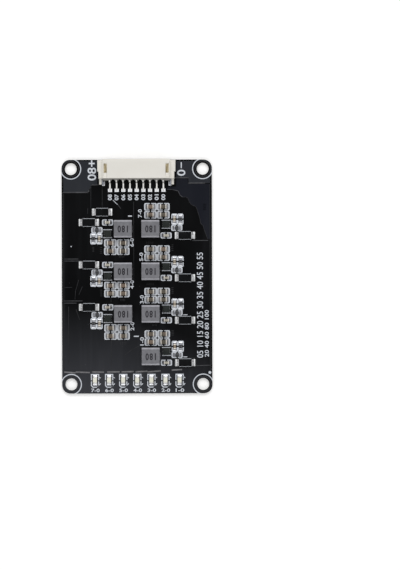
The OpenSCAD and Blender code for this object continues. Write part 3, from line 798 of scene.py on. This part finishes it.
def chips():
    cap = template(chip, CAP_L, CAP_W, CAP_H, 0.44, 0.13)
    small = template(chip, SMALL_L, SMALL_W, SMALL_H, 0.36, 0.08)
    for n in CHANNELS:
        bm = bmesh.new()
        for spot in filter_spots(n, CAP_L, CAP_W):
            stamp(bm, cap, spot)
        finished(bm, f"filter_capacitors_{n}_dressed", [CERAMIC_BROWN, CAP_END],
                 stands_for=[f"filter_capacitors_{n}"])
        bm = bmesh.new()
        node = f"small_capacitors_{n}"
        stamp(bm, small, corner_spot(node, n, SMALL_L, SMALL_W, True))
        finished(bm, f"bypass_capacitor_{n}", [CERAMIC_CREAM, CAP_END], stands_for=[node])
        bm = bmesh.new()
        stamp(bm, small, corner_spot(node, n, SMALL_L, SMALL_W, False))
        finished(bm, f"timing_capacitor_{n}", [CERAMIC_TAN, CAP_END], stands_for=[node])


def resistor(bm):
    """Alumina chip with a glazed film on top and wrapped metal ends."""
    block(bm, (1.30, 0.76, 0.34), (0, 0, 0.2), 0.02, 0)
    block(bm, (1.12, 0.70, 0.05), (0, 0, 0.385), 0.02, 1)
    for side in (-1, 1):
        block(bm, (0.25, 0.8, 0.45), (side * 0.675, 0, 0.225), 0.06, 2)


def resistors():
    shape = template(resistor)
    for n in CHANNELS:
        bm = bmesh.new()
        for upper in (True, False):
            stamp(bm, shape, corner_spot(f"resistors_{n}", n, SMALL_L, SMALL_W, upper))
        finished(bm, f"resistors_{n}_dressed", [RESISTOR_WHITE, RESISTOR_BLACK, RESISTOR_END],
                 stands_for=[f"resistors_{n}"])


chips()
resistors()

# ---------------------------------------------------------------- inductors


def inductor_body(bm):
    """Moulded block whose sides swell to a waist, with two long chamfers on top and a clip at each end."""
    stages = (
        (5.16, 5.06, 0.15), (5.40, 5.30, 1.35), (5.38, 5.18, 2.42), (5.36, 5.10, 2.54),
        (5.30, 4.42, 2.95), (5.20, 4.32, 2.985),
    )
    made = bmesh.ops.create_grid(bm, x_segments=1, y_segments=1, size=0.5)
    top = made["verts"][0].link_faces[0]
    wide, deep, level = stages[0]
    bmesh.ops.scale(bm, vec=(wide, deep, 1), verts=bm.verts)
    bmesh.ops.translate(bm, vec=(0, 0, level), verts=bm.verts)
    for next_wide, next_deep, high in stages[1:]:
        grown = bmesh.ops.extrude_face_region(bm, geom=[top])
        verts = [g for g in grown["geom"] if isinstance(g, bmesh.types.BMVert)]
        bmesh.ops.translate(bm, vec=(0, 0, high - level), verts=verts)
        bmesh.ops.scale(bm, vec=(next_wide / wide, next_deep / deep, 1), verts=verts)
        if level > stages[0][2]:
            bmesh.ops.delete(bm, geom=[top], context="FACES_ONLY")
        top = [g for g in grown["geom"] if isinstance(g, bmesh.types.BMFace)][0]
        wide, deep, level = next_wide, next_deep, high
    upright = [e for e in bm.edges if abs(e.verts[0].co.z - e.verts[1].co.z) > 0.02]
    bmesh.ops.bevel(bm, geom=upright, offset=0.16, offset_type="OFFSET", segments=3,
                    profile=0.5, affect="EDGES", clamp_overlap=True, material=-1)
    bmesh.ops.recalc_face_normals(bm, faces=bm.faces)
    # the chamfers facing along y take the lighter copy of the powder, a painted highlight
    for face in bm.faces:
        if face.calc_center_median().z > 2.45 and abs(face.normal.y) > 0.3:
            face.material_index = 2
    for side in (-1, 1):
        block(bm, (0.15, 2.4, 1.2), (side * 2.625, 0, 0.6), 0.05, 1)
        block(bm, (1.4, 2.4, 0.15), (side * 2.0, 0, 0.075), 0.03, 1)


def inductors():
    """The blocks, each with its number printed upside down on its top."""
    shape = template(inductor_body)
    for n in CHANNELS:
        bm = bmesh.new()
        middle = centre_mm(f"inductor_{n}")
        stamp(bm, shape, place(middle.x, middle.y, LAND_TOP))
        fitted(bm, "180", middle.x, middle.y - 0.08, 3.1, 2.1, 180, 0.035,
               LAND_TOP + 2.96, LAND_TOP + 3.0, 3, 1.25)
        finished(bm, f"inductor_{n}_dressed", [POWDER, TIN, POWDER_CHAMFER_HIGHLIGHT, MARK], 25,
                 [f"inductor_{n}"])


inductors()

# ---------------------------------------------------------------- packages, fuses and lights


def balancer_ics():
    for n in CHANNELS:
        node = f"balancer_ic_{n}"
        bm = copy_of(node)
        middle = centre_mm(node)
        soften(bm, 0.03, 60, 2)
        for face in bm.faces:
            at = face.calc_center_median()
            if abs(at.x - middle.x) > 1.005:
                face.material_index = 1
        finished(bm, f"{node}_dressed", [EPOXY, TIN], stands_for=[node])


def line_fuses():
    for n in FUSES:
        node = f"line_fuse_{n}"
        bm = copy_of(node)
        middle = centre_mm(node)
        for side in (-1, 1):
            bmesh.ops.bisect_plane(
                bm, geom=[*bm.verts, *bm.edges, *bm.faces], dist=0.0001,
                plane_co=(middle.x + side * 1.9, 0, 0), plane_no=(1, 0, 0),
            )
        # the ends take the darker plating, a painted shade of the half-round notches
        for face in bm.faces:
            at = face.calc_center_median()
            face.material_index = 1 if abs(at.x - middle.x) > 1.9 else 0
        soften(bm, 0.04, 50, 2)
        finished(bm, f"{node}_dressed", [FUSE_BLACK, FUSE_END_PAINTED_SHADE], stands_for=[node])


def light(bm):
    """White base with plated ends under a clear block."""
    block(bm, (1.5, 1.25, 0.3), (0, 0, 0.15), 0.03, 0)
    for side in (-1, 1):
        block(bm, (0.30, 1.2, 0.28), (side * 0.85, 0, 0.14), 0.04, 1)
    block(bm, (1.3, 1.22, 0.5), (0, 0, 0.55), 0.09, 2, 3)


def status_leds():
    shape = template(light)
    for n in CHANNELS:
        bm = bmesh.new()
        middle = centre_mm(f"status_led_{n}")
        stamp(bm, shape, place(middle.x, middle.y, LAND_TOP, 90))
        finished(bm, f"status_led_{n}_dressed", [LED_WHITE, TIN, LED_LENS],
                 stands_for=[f"status_led_{n}"])


balancer_ics()
line_fuses()
status_leds()

# ---------------------------------------------------------------- cell connector


def cell_skin(bm, xs, ys, zs, solid):
    """Skin of a block cut by planes into cells, of which some are left out."""
    spans = (xs, ys, zs)
    corners = {}

    def filled(cell):
        if any(not 0 <= i < len(span) - 1 for i, span in zip(cell, spans)):
            return False
        return solid(*((span[i] + span[i + 1]) / 2 for i, span in zip(cell, spans)))

    def corner(index):
        if index not in corners:
            corners[index] = bm.verts.new([span[i] for i, span in zip(index, spans)])
        return corners[index]

    cells = [
        (i, j, k) for i in range(len(xs) - 1) for j in range(len(ys) - 1) for k in range(len(zs) - 1)
    ]
    for cell in cells:
        if not filled(cell):
            continue
        for axis in range(3):
            for step in (0, 1):
                beside = list(cell)
                beside[axis] += 2 * step - 1
                if filled(beside):
                    continue
                a, b = (n for n in range(3) if n != axis)
                loop = []
                for da, db in ((0, 0), (1, 0), (1, 1), (0, 1)):
                    index = list(cell)
                    index[axis] += step
                    index[a] += da
                    index[b] += db
                    loop.append(corner(tuple(index)))
                bm.faces.new(loop)


SHELL_X, SHELL_DEPTH, LEDGE_BACK = 9.95, 5.8, 6.3
ROOF, ROOF_UNDER, KEY_UNDER, GROOVE, SOCKET_FLOOR, LEDGE_H = 5.5, 4.7, 3.6, 5.2, 0.7, 3.6


def connector_shell(bm):
    """Roof, floor, walls and back of the socket, with the windows and their grooves."""
    end = board_high.y
    breaks = (8.7, 9.2, 9.55, 9.7, SHELL_X)
    xs = [*(-x for x in reversed(breaks)), *breaks]
    ys = [end - d for d in (SHELL_DEPTH, 5.5, 4.8, 4.2, 1.4, 0.0)]
    zs = [BOARD_TOP + z for z in (0.0, SOCKET_FLOOR, KEY_UNDER, ROOF_UNDER, GROOVE, ROOF)]

    def solid(x, y, z):
        x, depth, z = abs(x), end - y, z - BOARD_TOP
        if depth < 4.8 and SOCKET_FLOOR < z < ROOF_UNDER and x < (9.55 if z > KEY_UNDER else 9.2):
            return False
        in_row = 8.7 < x < 9.7
        if in_row and 1.4 < depth < 4.2 and z > ROOF_UNDER:
            return False
        return not (in_row and 4.2 < depth < 5.5 and z > GROOVE)

    cell_skin(bm, xs, ys, zs, solid)
    bmesh.ops.recalc_face_normals(bm, faces=bm.faces)
    front = [
        e for e in bm.edges
        if all(abs(v.co.y - end) < 0.001 and abs(v.co.z - BOARD_TOP - ROOF) < 0.001 for v in e.verts)
    ]
    bmesh.ops.bevel(bm, geom=front, offset=0.16, offset_type="OFFSET", segments=2,
                    profile=0.5, affect="EDGES", clamp_overlap=True, material=-1)
    soften(bm, 0.05, 50, 2)
    # the walls of the windows take a darker tan nylon, a painted shade inside them
    for face in bm.faces:
        at = face.calc_center_median()
        if 8.75 < abs(at.x) < 9.65 and end - 4.15 < at.y < end - 1.45 and at.z < BOARD_TOP + ROOF - 0.1:
            face.material_index = 2


def connector_ledge(bm):
    """Low comb-shaped ledge behind the roof, scalloped between the contacts."""
    end = board_high.y
    back, front = end - LEDGE_BACK, end - SHELL_DEPTH + 0.3
    points = [(SHELL_X, front), (-SHELL_X, front), (-SHELL_X, back)]
    for i in range(8):
        middle, radius, depth = (i - 3.5) * PIN_PITCH, 0.5, 0.35
        half = math.acos(1 - depth / radius)
        for step in range(9):
            angle = math.pi / 2 + half - step * half / 4
            points.append((middle + radius * math.cos(angle), back - radius + depth + radius * math.sin(angle)))
    points.append((SHELL_X, back))
    base = bm.faces.new([bm.verts.new((x, y, BOARD_TOP)) for x, y in points])
    grown = bmesh.ops.extrude_face_region(bm, geom=[base])
    verts = [g for g in grown["geom"] if isinstance(g, bmesh.types.BMVert)]
    bmesh.ops.translate(bm, vec=(0, 0, LEDGE_H), verts=verts)
    rim = list({e for v in verts for e in v.link_edges if all(w in verts for w in e.verts)})
    bmesh.ops.bevel(bm, geom=rim, offset=0.05, offset_type="OFFSET", segments=2,
                    profile=0.5, affect="EDGES", clamp_overlap=True, material=-1)
    # the whole ledge takes the darker nylon, a painted shade under the roof
    for face in bm.faces:
        face.material_index = 1


def connector():
    end = board_high.y
    bm = bmesh.new()
    connector_shell(bm)
    ledge = template(connector_ledge)
    bm.from_mesh(ledge)
    for side in (-1, 1):
        block(bm, (1.98, 3.4, 3.6), (side * 10.64, end - 1.98, BOARD_TOP + 1.8), 0.10, 0)
        block(bm, (1.63, 2.9, 3.56), (side * 10.465, end - 4.35, BOARD_TOP + 1.78), 0.08, 0)
        block(bm, (0.75, 2.2, 2.0), (side * 10.785, end - 6.4, BOARD_TOP + 1.0), 0.12, 0, 3)
    finished(bm, "connector_housing_dressed", [NYLON, NYLON_LEDGE_PAINTED_SHADE, NYLON_WINDOW_PAINTED_SHADE], 35,
             ["connector_housing"])
    bm = copy_of("connector_contacts")
    soften(bm, 0.05, 50, 2)
    finished(bm, "connector_contacts_dressed", [TIN], 35, ["connector_contacts"])
    bm = copy_of("connector_solder_tabs")
    soften(bm, 0.04, 50, 2)
    finished(bm, "connector_solder_tabs_dressed", [RESISTOR_END], 35, ["connector_solder_tabs"])
    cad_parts["connector_solder"].data.materials.clear()
    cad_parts["connector_solder"].data.materials.append(SOLDER)


connector()

# ---------------------------------------------------------------- room

FLOOR = Finish("pale_floor", (0.93, 0.93, 0.93), roughness=0.9, specular=0.1)
FLOOR.put("Emission Color", (1, 1, 1, 1))
FLOOR.put("Emission Strength", 0.26)


def room():
    bm = bmesh.new()
    bmesh.ops.create_grid(bm, x_segments=1, y_segments=1, size=1.5)
    bmesh.ops.translate(bm, vec=(0, 0, -0.00002), verts=bm.verts)
    mesh = bpy.data.meshes.new("floor")
    bm.to_mesh(mesh)
    bm.free()
    mesh.materials.append(FLOOR.material)
    floor = bpy.data.objects.new("floor", mesh)
    bpy.context.scene.collection.objects.link(floor)

    world = bpy.data.worlds.new("studio")
    world.use_nodes = True
    world.node_tree.nodes["Background"].inputs["Color"].default_value = (1, 1, 1, 1)
    world.node_tree.nodes["Background"].inputs["Strength"].default_value = 0.36
    bpy.context.scene.world = world

    def softbox(name, at, aim, size, power):
        data = bpy.data.lights.new(name, "AREA")
        data.shape = "RECTANGLE"
        data.size, data.size_y = size
        data.energy = power
        lamp = bpy.data.objects.new(name, data)
        lamp.location = at
        lamp.rotation_euler = (Vector(aim) - Vector(at)).to_track_quat("-Z", "Y").to_euler()
        bpy.context.scene.collection.objects.link(lamp)

    softbox("key_softbox", (0.05, 0.45, 0.60), (0, 0, 0), (0.6, 0.35), 2.1)
    softbox("fill_softbox", (-0.10, -0.50, 0.55), (0, 0, 0), (0.6, 0.3), 0.9)
    softbox("overhead_softbox", (0.02, 0.02, 0.95), (0.02, 0.02, 0), (0.7, 0.7), 1.5)


def camera():
    data = bpy.data.cameras.new("camera")
    data.sensor_fit = "VERTICAL"
    data.sensor_height = 36.0
    data.lens = 36.0 * 0.599 / 0.1707
    data.clip_start, data.clip_end = 0.01, 10.0
    lens = bpy.data.objects.new("camera", data)
    lens.location = (0.01886, -0.00259, 0.600)
    lens.rotation_euler = (0, 0, math.radians(-0.18))
    bpy.context.scene.collection.objects.link(lens)
    bpy.context.scene.camera = lens


room()
camera()
bpy.context.scene.view_settings.view_transform = "Standard"
